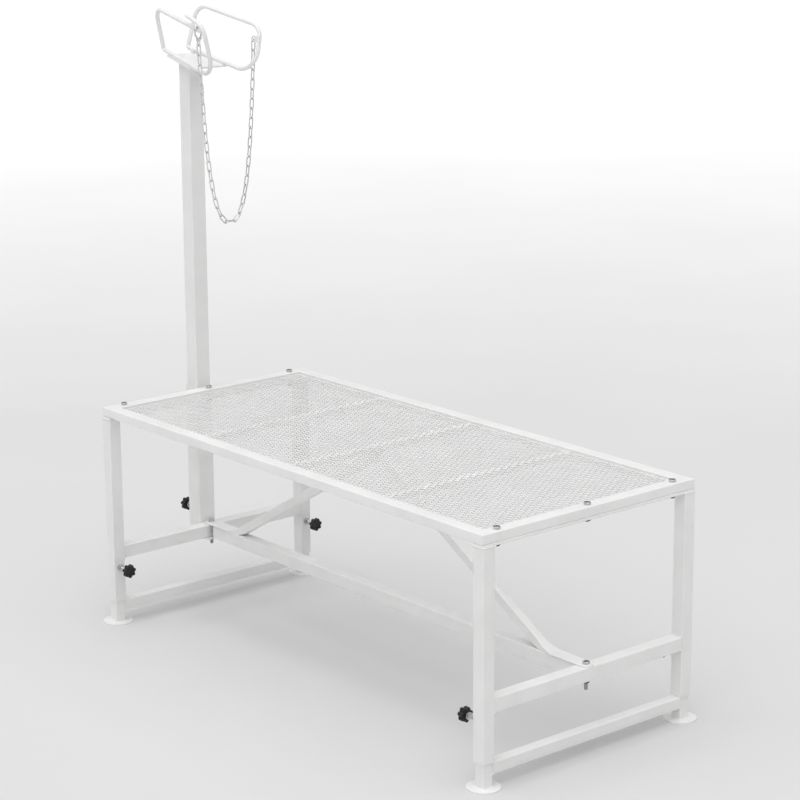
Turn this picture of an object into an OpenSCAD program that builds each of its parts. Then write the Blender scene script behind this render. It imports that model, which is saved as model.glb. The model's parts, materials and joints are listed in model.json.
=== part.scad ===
// Livestock grooming stand: an expanded-metal deck on two telescoping leg
// frames, with a head piece and a neck chain on a post at the head end.
// X runs along the deck (head end at -X), Y across it, Z up from the floor.
// The origin is on the floor at the middle of the stand's outer box.

/* [Deck] */
// Length of the deck over its frame
deck_l = 1295; // [1000:5:1600]
// Width of the deck over its frame
deck_w = 584; // [450:2:760]
// Height of the deck's top edge above the floor, legs closed
deck_h = 520; // [420:5:640]
// Width of the deck's frame tube, seen from above
rail_w = 30; // [24:1:40]
// Height of the deck's frame tube
rail_h = 21; // [16:1:40]
// Wall of the thin tubes: deck frame, rails, stretcher and braces
thin_wall = 1.5; // [1.2:0.1:2.5]
// How far the mesh lies below the deck's top edge
mesh_recess = 6; // [2:0.5:10]
// Thickness of the mesh panel
mesh_t = 2; // [1:0.5:4]
// Width of each bar under the mesh
cross_bar_w = 20; // [12:1:40]

/* [Legs] */
// Outer size of the square leg tube
leg_w = 30; // [25:1:45]
// Wall of the leg tube
leg_wall = 2; // [1.5:0.1:3]
// Gap on each side between a leg and the tube that slides in it
leg_slide_gap = 0.5; // [0.3:0.1:1]
// Wall of the sliding tube
inner_wall = 1.5; // [1.2:0.1:2.5]
// Height of the sliding tube's top end
inner_top = 340; // [300:5:400]
// Thickness of the flat bar on top of each leg pair
top_bar_t = 5; // [3:0.5:8]
// How far the legs stand out past the deck's ends
leg_ledge = 3; // [0:0.5:6]
// Height of the fixed rails' and the stretcher's undersides
mid_rail_z = 155.5; // [120:0.5:260]
// Size of the square tube of the fixed rails and the stretcher
mid_rail_w = 30; // [25:1:40]
// Diameter of the foot plates
foot_d = 70; // [50:1:90]
// Thickness of the foot plates
foot_t = 3; // [2:0.5:6]
// Gap between the foot plates and the lower rail
foot_rail_gap = 24.5; // [15:0.5:60]
// Gap left where the leg tubes come down on the lower rail
stop_gap = 0.5; // [0.3:0.1:2]

/* [Stretcher and braces] */
// Gap between the stretcher's head end and the head rail
stretcher_gap = 12.5; // [5:0.5:30]
// Size of the square brace tube
brace_w = 20; // [16:1:25]
// Distance from deck centre to where a brace's centre line meets its tab
brace_foot_x = 519; // [420:1:560]
// Height of the braces' centre lines where the two braces meet
brace_top_z = 491; // [400:1:495]
// Thickness of a brace's flattened end
tab_t = 3; // [2:0.5:5]
// Width of a brace's flattened end
tab_w = 34; // [28:1:40]
// Length of the squeezed part between tube and flat end
squeeze_l = 30; // [20:1:50]

/* [Post and sleeve] */
// Outer size of the square sleeve
sleeve_w = 45; // [40:1:60]
// Wall of the sleeve
sleeve_wall = 2; // [1.5:0.1:3]
// How far the sleeve's top stands above the mid rails' underside
sleeve_l = 364; // [300:2:364]
// Gap on each side between sleeve and post
post_gap = 0.5; // [0.3:0.1:1]
// Wall of the post
post_wall = 2; // [1.5:0.1:3]
// Thickness of the plate that closes the sleeve's foot
bracket_t = 4; // [3:0.5:6]
// Width of that plate
bracket_w = 58; // [46:1:80]
// How far that plate reaches past the head rail
bracket_reach = 8; // [0:1:11]

/* [Head piece] */
// Height of the head piece's rear bottom corner above the deck
head_h = 796; // [600:2:900]
// Distance from that corner forward to the post's centre
head_back = 56.5; // [40:0.5:80]
// Forward tilt of the head piece
head_tilt = 12; // [0:1:20]
// Diameter of the bent rod
rod_d = 10; // [8:0.5:12]
// Half the gap between the two loops at their rear bottom corners
loop_half_gap = 34; // [28:0.5:60]
// Outward lean of each loop
loop_lean = 15.5; // [5:0.5:25]
// Opening of the loops towards the front, each side
loop_splay = 5.7; // [0:0.1:10]
// Length of a loop's bottom rod, corner to corner
loop_l = 235; // [200:1:280]
// Height of a loop's front top corner, measured in the loop's own plane
loop_h = 107; // [90:1:140]
// How far the front top corner stands back from the front bottom one
loop_set_back = 29; // [10:1:45]
// Length of the free prong over the left loop, from its bend
prong_l = 73; // [55:1:90]
// Thickness of the plate under the rods
neck_plate_t = 5; // [3:0.5:8]
// Length of that plate along the rods
neck_plate_l = 108; // [90:1:140]

/* [Chain] */
// Wire of the chain links
link_wire = 3; // [2.5:0.1:3.2]
// Inside length of a link
link_inner_l = 22.6; // [20:0.1:30]
// Inside width of a link
link_inner_w = 6; // [5.6:0.1:8]
// Number of links (odd)
link_count = 39; // [31:2:47]
// Distance along the left loop's top rod to the snap hook
snap_along = 190; // [165:1:195]
// Thickness of the eye plate that holds the chain's fixed end
eye_t = 2.5; // [2:0.5:3]

/* [Clamp screws] */
// Diameter of the clamp screws
stud_d = 8; // [6:1:10]
// Diameter over the knobs' lobes
knob_d = 33; // [28:1:45]
// Thickness of the knobs
knob_t = 14; // [10:1:20]
// Distance from the tube's face to the middle of the knob
knob_reach = 38.5; // [32:0.5:50]
// Number of lobes on a knob
knob_lobes = 7; // [5:1:9]
// Height of the leg clamp screws
leg_clamp_z = 136; // [90:1:150]
// Height of the post clamp screw
post_clamp_z = 211; // [195:1:400]
// Gap between a screw's tip and the tube that it holds
clamp_gap = 0.2; // [0.1:0.05:0.4]

/* [Bolts] */
// Diameter of the bolts
bolt_d = 8; // [6:1:10]
// Length of the deck bolts under the head
deck_bolt_l = 35; // [32:1:50]
// Length of the stretcher bolts under the head
stretcher_bolt_l = 55; // [52:1:70]
// Distance from the deck's centre line to the outer deck bolts
deck_bolt_y = 242; // [100:1:250]

/* [Hidden] */
// Fine enough for every round surface to be a true circle.
$fn = 48;

// Radial clearance of a screw in its thread, and of a bolt in a drilled hole.
thread_gap = 0.05;
drill_gap = 0.3;
// Depth to which a rod is sunk into the plate that it is welded to.
weld_sink = 0.4;
// Anything cut right through is cut this much longer than it needs to be.
past = 1;
// Length and step of the sleeve that closes each joint of a bent rod.
joint_l = 1.2;
joint_step = 0.15;

inner_w = leg_w - 2 * (leg_wall + leg_slide_gap);
post_w = sleeve_w - 2 * (sleeve_wall + post_gap);
leg_x = deck_l / 2 + leg_ledge - leg_w / 2;
leg_y = deck_w / 2 - leg_w / 2;
post_x = deck_l / 2 + leg_ledge + sleeve_w / 2;
rail_z = deck_h - rail_h;
leg_top = rail_z - top_bar_t;
mid_rail_top = mid_rail_z + mid_rail_w;
mid_rail_x = deck_l / 2 + leg_ledge - mid_rail_w / 2;
foot_rail_z = foot_t + foot_rail_gap;
leg_foot = foot_rail_z + inner_w + stop_gap;
mesh_z = deck_h - mesh_recess - mesh_t;
mesh_l = deck_l - 2 * rail_w;
inside_w = deck_w - 2 * rail_w;
deck_bolt_x = deck_l / 2 - rail_w / 2;

// The outer box runs from the post's knob to the tail end's foot plates.
head_extent = post_x + sleeve_w / 2 + knob_reach + knob_t / 2;
tail_extent = leg_x + foot_d / 2;
deck_mid_x = (head_extent - tail_extent) / 2;

// Hexagon bolts and nuts: sizes follow from the bolt's diameter.
hex_af = bolt_d * 13 / 8;
bolt_head_h = bolt_d * 0.66;
nut_h = bolt_d * 0.85;
weld_nut_h = stud_d;
washer_t = 1.5;
washer_d = 2 * stud_d;
knob_hub_l = 4;
knob_bore_l = 8;

// Head piece, in its own frame: the origin midway between the loops' rear
// bottom corners, X forward along the rods, Z square to the plate.
head_x = -(post_x + head_back);
head_z = deck_h + head_h;
rod_r = rod_d / 2;
plate_top = weld_sink - rod_r;
plate_start = 24;
loop_rear_lean = 11;
loop_rear_h = loop_h - 4;
bend_tight = 8;
bend_rear = 30;
bend_top = 38;
bend_bottom = 45;
bend_prong = 30;
prong_rise = 5;
front_top = [loop_l - loop_set_back, loop_h];
rear_top = [-loop_rear_lean, loop_rear_h];
front_bottom = [loop_l, 0];
rear_bottom = [0, 0];
// The left loop's front rod stands steeper and carries on past the top rod.
prong_corner = [loop_l - 20, loop_h + 15];
prong_tip = prong_corner + prong_l * [-cos(prong_rise), sin(prong_rise)];
top_rod_end = [loop_l - 25, loop_h];

// A point of a loop's plane, in the stand's frame. side is 1 right, -1 left.
function lean_point(u, v) = [u, v * sin(loop_lean), v * cos(loop_lean)];
function turn_z(p, a) = [p.x * cos(a) - p.y * sin(a), p.x * sin(a) + p.y * cos(a), p.z];
function turn_y(p, a) = [p.x * cos(a) + p.z * sin(a), p.y, p.z * cos(a) - p.x * sin(a)];
function splayed(u, v) = turn_z(lean_point(u, v), loop_splay) + [0, loop_half_gap, 0];
function sided(p, side) = [p.x, side * p.y, p.z];
function loop_point(u, v, side) =
    turn_y(sided(splayed(u, v), side), head_tilt) + [head_x, 0, head_z];

// Snap hook, in its own frame: origin at the middle of the wire at its crown,
// Z up, jaw opening towards the prong.
snap_wire = 4;
jaw_r = 9;
jaw_neck = 18;
boss_r = 4.5;
boss_z = -30;
boss_t = 5;
nose_z = -10.5;
swivel_r = 5;
swivel_z = boss_z - boss_r - swivel_r + 1;
snap_l = swivel_r - swivel_z;
gate_pin = [6, -26];
gate_tip = [jaw_r, nose_z - 2.6];
gate_t = 2.2;
gate_w = 3.6;
gate_pin_d = 1.8;
lug_r = 2.6;
snap_gap = 0.3;

// Chain links take turns: one lies in the chain's own plane, the next square
// to it. link_slack is how far a crown hangs below the centre of the last arc.
link_arc_r = (link_inner_w + link_wire) / 2;
link_slack = 1;
link_flat_l = link_inner_l - link_inner_w;
flat_step = link_flat_l + 2 * link_slack;
edge_step = link_inner_l + link_wire;
end_extra = link_arc_r - link_slack;
half_links = (link_count - 1) / 2;
function step(k) = abs(k + half_links) % 2 == 0 ? flat_step : edge_step;
function step_at(k) = step(k) + (k == half_links ? end_extra : 0);

// Both ends of the chain: the hook on the left loop, the eye on the right.
hung_v = loop_rear_h + (loop_h - loop_rear_h) * (snap_along + loop_rear_lean) / (top_rod_end.x + loop_rear_lean);
hook_point = loop_point(snap_along, hung_v, -1)
    + [0, 0, (rod_r + snap_wire / 2) / cos(head_tilt) + snap_gap];
eye_z = hook_point.z - snap_l + end_extra;
eye_local = turn_y([hook_point.x - head_x, 0, eye_z - head_z], -head_tilt);
eye_v = eye_local.z / cos(loop_lean);
eye_u = (eye_local.x + eye_v * sin(loop_lean) * sin(loop_splay)) / cos(loop_splay);
eye_point = loop_point(eye_u, eye_v, 1);
chain_start = hook_point - [0, 0, snap_l];
chain_span = eye_point.y - chain_start.y;

// A hanging chain: each link's slope grows by the same amount, pull. The
// right pull spans the gap between the ends, and halving finds it.
function link_angle(k, pull) = atan(k * pull);
function reach(pull) =
    sum_list([for (k = [-half_links:half_links]) step_at(k) * cos(link_angle(k, pull))]);
function sum_list(a, i = 0) = i < len(a) ? a[i] + sum_list(a, i + 1) : 0;
function find_pull(low, high, tries) =
    tries == 0 ? (low + high) / 2
    : reach((low + high) / 2) > chain_span ? find_pull((low + high) / 2, high, tries - 1)
    : find_pull(low, (low + high) / 2, tries - 1);
chain_pull = find_pull(0.05, 6, 40);
// Where link k begins, measured from the chain's start: across, then up.
function link_start(k) = k == -half_links ? [0, 0]
    : link_start(k - 1)
      + step_at(k - 1) * [cos(link_angle(k - 1, chain_pull)), sin(link_angle(k - 1, chain_pull))];

// Eye plate: hole a little above the link's wire, plate out to the front rod.
eye_drop = 1.5;
eye_hole_r = 3.6;
eye_r = 7.5;
eye_root = loop_l - loop_set_back * eye_v / loop_h;

// Braces: from a flat tab at the rail up to the middle bar under the deck.
tab_mid_z = mid_rail_top + tab_t / 2;
brace_angle = atan((brace_top_z - tab_mid_z) / brace_foot_x);
brace_start = 26;
tab_end = mid_rail_x + mid_rail_w / 2;

white = [0.93, 0.93, 0.92];
dark = [0.13, 0.13, 0.14];
steel = [0.66, 0.67, 0.69];

// ---- Shared shapes ----

// Everything is placed from the middle of the deck, on the floor.
module from_deck() {
    translate([deck_mid_x, 0, 0]) children();
}

// Square tube along Z, centred on the origin, standing on it.
module square_tube(w, l, wall) {
    difference() {
        translate([-w / 2, -w / 2, 0]) cube([w, w, l]);
        translate([wall - w / 2, wall - w / 2, -past]) cube([w - 2 * wall, w - 2 * wall, l + 2 * past]);
    }
}

// Tube along X from x0 to x1, centred on Y, standing on the origin's height.
module rail_tube(x0, x1, w, h, wall) {
    difference() {
        translate([x0, -w / 2, 0]) cube([x1 - x0, w, h]);
        translate([x0 - past, wall - w / 2, wall]) cube([x1 - x0 + 2 * past, w - 2 * wall, h - 2 * wall]);
    }
}

// A drilled hole along Z, from z0 up to z1.
module drill(d, z0, z1) {
    translate([0, 0, z0 - past]) cylinder(d = d + 2 * drill_gap, h = z1 - z0 + 2 * past);
}

// Frame tube with 45 degree ends: outer edge along X, body towards +Y.
module mitred_rail(l) {
    difference() {
        linear_extrude(rail_h)
            polygon([[-l / 2, 0], [l / 2, 0], [l / 2 - rail_w, rail_w], [rail_w - l / 2, rail_w]]);
        translate([0, 0, thin_wall]) linear_extrude(rail_h - 2 * thin_wall)
            polygon([[thin_wall - l / 2, thin_wall], [l / 2 - thin_wall, thin_wall],
                [l / 2 - rail_w + thin_wall, rail_w - thin_wall],
                [rail_w - thin_wall - l / 2, rail_w - thin_wall]]);
    }
}

function unit(p) = p / norm(p);
// Half the turn of a rod at corner b between a and c.
function half_turn(a, b, c) = 90 - acos(min(1, max(-1, unit(a - b) * unit(c - b)))) / 2;

// One straight length of round rod in the XY plane.
module rod_between(a, b, d) {
    if (norm(b - a) > 0.01)
        translate([a.x, a.y, 0]) rotate([0, 0, atan2(b.y - a.y, b.x - a.x)])
            rotate([0, 90, 0]) cylinder(d = d, h = norm(b - a));
}

// One bend of round rod at corner b, of centre-line radius r.
module rod_bend(a, b, c, r, d) {
    in = unit(a - b);
    out = unit(c - b);
    half = half_turn(a, b, c);
    centre = b + unit(in + out) * r / cos(half);
    first = b + in * r * tan(half) - centre;
    last = b + out * r * tan(half) - centre;
    left = first.x * last.y - first.y * last.x > 0;
    from = left ? first : last;
    translate([centre.x, centre.y, 0]) rotate([0, 0, atan2(from.y, from.x)])
        rotate_extrude(angle = 2 * half) translate([r, 0]) circle(d = d);
}

// A thin sleeve over the joint of a straight and a bend of round rod.
module rod_joint(at, along, d) {
    translate([at.x, at.y, 0]) rotate([0, 0, atan2(along.y, along.x)]) rotate([0, 90, 0])
        translate([0, 0, -joint_l / 2]) cylinder(d = d + 2 * joint_step, h = joint_l);
}

// Round rod bent along corner points. r[i] is the bend at corner i.
// closed joins the last corner to the first.
module bent_rod(p, r, d, closed = false) {
    n = len(p);
    function cut(i) = closed || (i > 0 && i < n - 1)
        ? r[i] * tan(half_turn(p[(i + n - 1) % n], p[i], p[(i + 1) % n])) : 0;
    for (i = [0:closed ? n - 1 : n - 2]) {
        j = (i + 1) % n;
        along = unit(p[j] - p[i]);
        rod_between(p[i] + along * cut(i), p[j] - along * cut(j), d);
    }
    for (i = [closed ? 0 : 1:closed ? n - 1 : n - 2]) {
        before = p[(i + n - 1) % n];
        after = p[(i + 1) % n];
        rod_bend(before, p[i], after, r[i], d);
        rod_joint(p[i] + unit(before - p[i]) * cut(i), before - p[i], d);
        rod_joint(p[i] + unit(after - p[i]) * cut(i), after - p[i], d);
    }
}

module hex_prism(af, h) {
    cylinder(d = af / cos(30), h = h, $fn = 6);
}

// Bolt hanging down from its seat at the origin.
module hex_bolt(l) {
    hex_prism(hex_af, bolt_head_h);
    translate([0, 0, -l]) cylinder(d = bolt_d, h = l);
}

// Nut hanging down from its seat at the origin.
module hex_nut() {
    difference() {
        translate([0, 0, -nut_h]) hex_prism(hex_af, nut_h);
        translate([0, 0, -nut_h - past]) cylinder(d = bolt_d + 2 * thread_gap, h = nut_h + 2 * past);
    }
}

// ---- Places ----

// end is -1 at the head, 1 at the tail; side is -1 at the front, 1 at the rear.
module at_leg(end, side) {
    from_deck() translate([end * leg_x, side * leg_y, 0]) children();
}

// A clamp screw's own frame: origin on the tube's face, X pointing out of it.
module at_leg_clamp(end, side) {
    at_leg(end, side) translate([-end * leg_w / 2, 0, leg_clamp_z])
        rotate([0, 0, end < 0 ? 0 : 180]) children();
}

module at_post_clamp() {
    from_deck() translate([-post_x - sleeve_w / 2, 0, post_clamp_z]) rotate([0, 0, 180]) children();
}

module at_deck_bolts(end) {
    from_deck() for (y = [-deck_bolt_y, 0, deck_bolt_y]) translate([end * deck_bolt_x, y, 0]) children();
}

module at_stretcher_bolt(end) {
    from_deck() translate([end * mid_rail_x, 0, 0]) children();
}

module at_head() {
    from_deck() translate([head_x, 0, head_z]) rotate([0, head_tilt, 0]) children();
}

module in_loop_plane(side) {
    at_head() mirror([0, side < 0 ? 1 : 0, 0]) translate([0, loop_half_gap, 0])
        rotate([0, 0, loop_splay]) rotate([-loop_lean, 0, 0]) rotate([90, 0, 0]) children();
}

// ---- Deck ----

module deck_side_rail(side) {
    color(white) from_deck() mirror([0, side > 0 ? 1 : 0, 0])
        translate([0, -deck_w / 2, rail_z]) mitred_rail(deck_l);
}

module deck_end_rail(end) {
    color(white) difference() {
        from_deck() mirror([end > 0 ? 1 : 0, 0, 0])
            translate([-deck_l / 2, 0, rail_z]) rotate([0, 0, -90]) mitred_rail(deck_w);
        at_deck_bolts(end) drill(bolt_d, rail_z, deck_h);
    }
}

// place is -1, 0 or 1: one bar at each quarter of the mesh.
module cross_bar(place) {
    color(white) from_deck() translate([place * mesh_l / 4, 0, rail_z]) rotate([0, 0, 90])
        rail_tube(-inside_w / 2, inside_w / 2, cross_bar_w, mesh_z - rail_z, thin_wall);
}

module deck_rail_front() { deck_side_rail(-1); }
module deck_rail_rear() { deck_side_rail(1); }
module deck_rail_head() { deck_end_rail(-1); }
module deck_rail_tail() { deck_end_rail(1); }
module deck_cross_bar_head() { cross_bar(-1); }
module deck_cross_bar_middle() { cross_bar(0); }
module deck_cross_bar_tail() { cross_bar(1); }

// The panel that the strands of the mesh fill.
module deck_mesh() {
    color(white) from_deck() translate([-mesh_l / 2, -inside_w / 2, mesh_z]) cube([mesh_l, inside_w, mesh_t]);
}

// ---- Fixed legs and rails ----

module leg_tube(end, side) {
    color(white) difference() {
        at_leg(end, side) translate([0, 0, leg_foot]) square_tube(leg_w, leg_top - leg_foot, leg_wall);
        at_leg_clamp(end, side) translate([-leg_w / 2, 0, 0]) rotate([0, 90, 0])
            cylinder(d = stud_d + 2 * drill_gap, h = leg_w);
    }
}

module leg_tube_head_front() { leg_tube(-1, -1); }
module leg_tube_head_rear() { leg_tube(-1, 1); }
module leg_tube_tail_front() { leg_tube(1, -1); }
module leg_tube_tail_rear() { leg_tube(1, 1); }

module top_bar(end) {
    color(white) difference() {
        from_deck() translate([end * leg_x - leg_w / 2, -deck_w / 2, leg_top]) cube([leg_w, deck_w, top_bar_t]);
        at_deck_bolts(end) drill(bolt_d, leg_top, rail_z);
    }
}

module top_bar_head() { top_bar(-1); }
module top_bar_tail() { top_bar(1); }

module mid_rail(end) {
    half = deck_w / 2 - leg_w;
    color(white) difference() {
        from_deck() translate([end * mid_rail_x, 0, mid_rail_z]) rotate([0, 0, 90])
            rail_tube(-half, half, mid_rail_w, mid_rail_w, thin_wall);
        at_stretcher_bolt(end) drill(bolt_d, mid_rail_z, mid_rail_top);
    }
}

module mid_rail_head() { mid_rail(-1); }
module mid_rail_tail() { mid_rail(1); }

module stretcher() {
    inner_face = mid_rail_x - mid_rail_w / 2;
    color(white) from_deck() translate([0, 0, mid_rail_z])
        rail_tube(stretcher_gap - inner_face, inner_face, mid_rail_w, mid_rail_w, thin_wall);
}

// Modelled for the tail end and turned round for the head end.
module brace(end) {
    long = brace_foot_x / cos(brace_angle) + brace_w;
    squeezed_x = brace_foot_x + squeeze_l;
    plug_w = brace_w - 2 * joint_step;
    from_deck() rotate([0, 0, end < 0 ? 180 : 0]) difference() {
        union() {
            intersection() {
                translate([brace_foot_x, 0, tab_mid_z]) rotate([0, brace_angle, 0])
                    rotate([0, 0, 180]) translate([0, 0, -brace_w / 2])
                    rail_tube(brace_start, long, brace_w, brace_w, thin_wall);
                translate([0, -brace_w, mid_rail_top])
                    cube([deck_l, 2 * brace_w, rail_z - mid_rail_top]);
            }
            hull() {
                translate([brace_foot_x, 0, tab_mid_z]) rotate([0, brace_angle, 0])
                    translate([-brace_start - past, -plug_w / 2, -plug_w / 2]) cube([past, plug_w, plug_w]);
                translate([squeezed_x, -tab_w / 2, mid_rail_top]) cube([past, tab_w, tab_t]);
            }
            translate([squeezed_x, -tab_w / 2, mid_rail_top])
                cube([tab_end - tab_w / 2 - squeezed_x, tab_w, tab_t]);
            translate([tab_end - tab_w / 2, 0, mid_rail_top]) cylinder(d = tab_w, h = tab_t);
        }
        translate([mid_rail_x, 0, 0]) drill(bolt_d, mid_rail_top, mid_rail_top + tab_t);
    }
}

module brace_head() { color(white) brace(-1); }
module brace_tail() { color(white) brace(1); }

module post_sleeve() {
    color(white) difference() {
        from_deck() translate([-post_x, 0, mid_rail_z]) square_tube(sleeve_w, sleeve_l, sleeve_wall);
        at_post_clamp() translate([-sleeve_w / 2, 0, 0]) rotate([0, 90, 0])
            cylinder(d = stud_d + 2 * drill_gap, h = sleeve_w);
    }
}

module post_bracket() {
    back = -post_x - sleeve_w / 2;
    front = -mid_rail_x + mid_rail_w / 2 + bracket_reach;
    color(white) difference() {
        from_deck() translate([back, -bracket_w / 2, mid_rail_z - bracket_t])
            cube([front - back, bracket_w, bracket_t]);
        at_stretcher_bolt(-1) drill(bolt_d, mid_rail_z - bracket_t, mid_rail_z);
    }
}

// ---- Bolts and nuts ----

module clamp_nut() {
    rotate([0, 90, 0]) difference() {
        hex_prism(hex_af * stud_d / bolt_d, weld_nut_h);
        translate([0, 0, -past]) cylinder(d = stud_d + 2 * thread_gap, h = weld_nut_h + 2 * past);
    }
}

module clamp_weld_nuts() {
    color(dark) {
        for (end = [-1, 1], side = [-1, 1]) at_leg_clamp(end, side) clamp_nut();
        at_post_clamp() clamp_nut();
    }
}

module deck_bolts() {
    color(steel) for (end = [-1, 1]) at_deck_bolts(end) translate([0, 0, deck_h]) hex_bolt(deck_bolt_l);
}

module deck_nuts() {
    color(dark) for (end = [-1, 1]) at_deck_bolts(end) translate([0, 0, leg_top]) hex_nut();
}

module stretcher_bolts() {
    color(steel) for (end = [-1, 1])
        at_stretcher_bolt(end) translate([0, 0, mid_rail_top + tab_t]) hex_bolt(stretcher_bolt_l);
}

module stretcher_nuts() {
    color(dark) {
        at_stretcher_bolt(-1) translate([0, 0, mid_rail_z - bracket_t]) hex_nut();
        at_stretcher_bolt(1) translate([0, 0, mid_rail_z]) hex_nut();
    }
}

// ---- Sliding leg frames ----

module inner_tube(end, side) {
    color(white) at_leg(end, side) translate([0, 0, foot_t]) square_tube(inner_w, inner_top - foot_t, inner_wall);
}

module inner_tube_head_front() { inner_tube(-1, -1); }
module inner_tube_head_rear() { inner_tube(-1, 1); }
module inner_tube_tail_front() { inner_tube(1, -1); }
module inner_tube_tail_rear() { inner_tube(1, 1); }

module foot_rail(end) {
    half = leg_y - inner_w / 2;
    color(white) from_deck() translate([end * leg_x, 0, foot_rail_z]) rotate([0, 0, 90])
        rail_tube(-half, half, inner_w, inner_w, inner_wall);
}

module foot_rail_head() { foot_rail(-1); }
module foot_rail_tail() { foot_rail(1); }

module foot_plates(end) {
    color(white) for (side = [-1, 1]) at_leg(end, side) cylinder(d = foot_d, h = foot_t);
}

module foot_plates_head() { foot_plates(-1); }
module foot_plates_tail() { foot_plates(1); }

// ---- Post and head piece ----

module head_post() {
    foot = mid_rail_z;
    color(white) difference() {
        from_deck() translate([-post_x, 0, foot]) square_tube(post_w, head_z - foot, post_wall);
        at_head() translate([-post_w, -post_w, plate_top - neck_plate_t])
            cube([4 * post_w, 2 * post_w, 2 * post_w]);
    }
}

module neck_plate() {
    function half(x) = loop_half_gap + x * tan(loop_splay) + rod_r;
    last = plate_start + neck_plate_l;
    color(white) at_head() translate([0, 0, plate_top - neck_plate_t]) linear_extrude(neck_plate_t)
        polygon([[plate_start, -half(plate_start)], [last, -half(last)],
            [last, half(last)], [plate_start, half(plate_start)]]);
}

module right_rod() {
    bent_rod([rear_bottom, rear_top, front_top, front_bottom],
        [bend_tight, bend_rear, bend_top, bend_bottom], rod_d, closed = true);
}

module neck_loop_right() {
    color(white) in_loop_plane(1) right_rod();
}

// One rod: prong, front, bottom, rear and top, where it meets the front again.
module neck_loop_left() {
    color(white) in_loop_plane(-1)
        bent_rod([prong_tip, prong_corner, front_bottom, rear_bottom, rear_top, top_rod_end],
            [0, bend_prong, bend_bottom, bend_tight, bend_rear, 0], rod_d);
}

// Short peg on the plate, beside the right rod.
module plate_peg() {
    peg_d = 8;
    peg_h = 9;
    color(white) at_head() translate([plate_start + peg_d, loop_half_gap - rod_r - peg_d / 2, plate_top])
        cylinder(d = peg_d, h = peg_h);
}

// Upright plate on the right loop's front rod, holed for the chain.
module chain_eye() {
    hole = eye_point + [0, 0, eye_drop];
    color(white) difference() {
        from_deck() translate(hole) rotate([90, 0, 0]) translate([0, 0, -eye_t / 2])
            linear_extrude(eye_t) difference() {
                union() {
                    circle(r = eye_r);
                    translate([0, -eye_r]) square([eye_root - eye_u + rod_r, 2 * eye_r]);
                }
                circle(r = eye_hole_r);
            }
        in_loop_plane(1) right_rod();
    }
}

// ---- Chain and snap hook ----

// A link along X, its middle at the origin, lying in the XY plane.
module link() {
    for (end = [0, 180]) rotate([0, 0, end]) {
        translate([link_flat_l / 2, 0, 0]) rotate([0, 0, -90])
            rotate_extrude(angle = 180) translate([link_arc_r, 0]) circle(d = link_wire);
        translate([-link_flat_l / 2, link_arc_r, 0]) rotate([0, 90, 0])
            cylinder(d = link_wire, h = link_flat_l);
    }
}

module neck_chain() {
    color(steel) from_deck() translate(chain_start) for (k = [-half_links:half_links]) {
        begin = link_start(k);
        mid = begin + step(k) / 2 * [cos(link_angle(k, chain_pull)), sin(link_angle(k, chain_pull))];
        flat = step(k) == flat_step;
        translate([0, mid.x, mid.y]) rotate([link_angle(k, chain_pull), 0, 0]) rotate([0, 0, 90])
            rotate([flat ? 90 : 0, 0, 0]) link();
    }
}

// The snap hook's frame, drawn in the XY plane and stood upright across the stand.
module at_snap() {
    from_deck() translate(hook_point) rotate([0, 0, 90]) rotate([90, 0, 0]) children();
}

module snap_hook() {
    color(steel) at_snap() {
        bent_rod([[0, boss_z], [-jaw_r, -jaw_neck], [-jaw_r, 0], [jaw_r, 0], [jaw_r, nose_z]],
            [0, bend_tight, jaw_r, jaw_r, 0], snap_wire);
        difference() {
            union() {
                translate([0, boss_z, -boss_t / 2]) cylinder(r = boss_r, h = boss_t);
                translate([gate_pin.x, gate_pin.y, -boss_t / 2]) cylinder(r = lug_r, h = boss_t);
                translate([0, boss_z, -boss_t / 2]) linear_extrude(boss_t)
                    polygon([[0, 0], [boss_r, 0], gate_pin - [0, boss_z] + [lug_r, 0],
                        gate_pin - [0, boss_z] - [lug_r, 0]]);
            }
            translate([gate_pin.x - lug_r - 0.5, gate_pin.y - lug_r - 0.5, -gate_t / 2 - 0.2])
                cube([4 * lug_r, 4 * lug_r, gate_t + 0.4]);
        }
        translate([gate_pin.x, gate_pin.y, -boss_t / 2]) cylinder(d = gate_pin_d, h = boss_t);
        translate([0, swivel_z, 0]) rotate([0, 90, 0]) rotate_extrude() translate([swivel_r, 0])
            circle(d = link_wire);
    }
}

// Sprung gate on its pin: round eye, straight bar, rounded tip.
module snap_gate() {
    bar = gate_tip - gate_pin;
    color(steel) at_snap() translate([gate_pin.x, gate_pin.y, -gate_t / 2]) difference() {
        union() {
            cylinder(r = lug_r - 0.4, h = gate_t);
            rotate([0, 0, atan2(bar.y, bar.x)]) translate([0, joint_step - gate_w / 2, 0])
                cube([norm(bar), gate_w - 2 * joint_step, gate_t]);
            translate([bar.x, bar.y, 0]) cylinder(d = gate_w, h = gate_t);
        }
        translate([0, 0, -past]) cylinder(d = gate_pin_d + 2 * thread_gap, h = gate_t + 2 * past);
    }
}

// ---- Clamp screws ----

knob_face = knob_reach - knob_t / 2 - knob_hub_l;

module clamp_washer() {
    translate([knob_face - washer_t, 0, 0]) rotate([0, 90, 0]) difference() {
        cylinder(d = washer_d, h = washer_t);
        translate([0, 0, -past]) cylinder(d = stud_d + 2 * thread_gap, h = washer_t + 2 * past);
    }
}

// depth is how far the screw's tip lies inside the tube's face.
module clamp_stud(depth) {
    translate([-depth, 0, 0]) rotate([0, 90, 0]) cylinder(d = stud_d, h = depth + knob_face + knob_bore_l);
}

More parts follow.
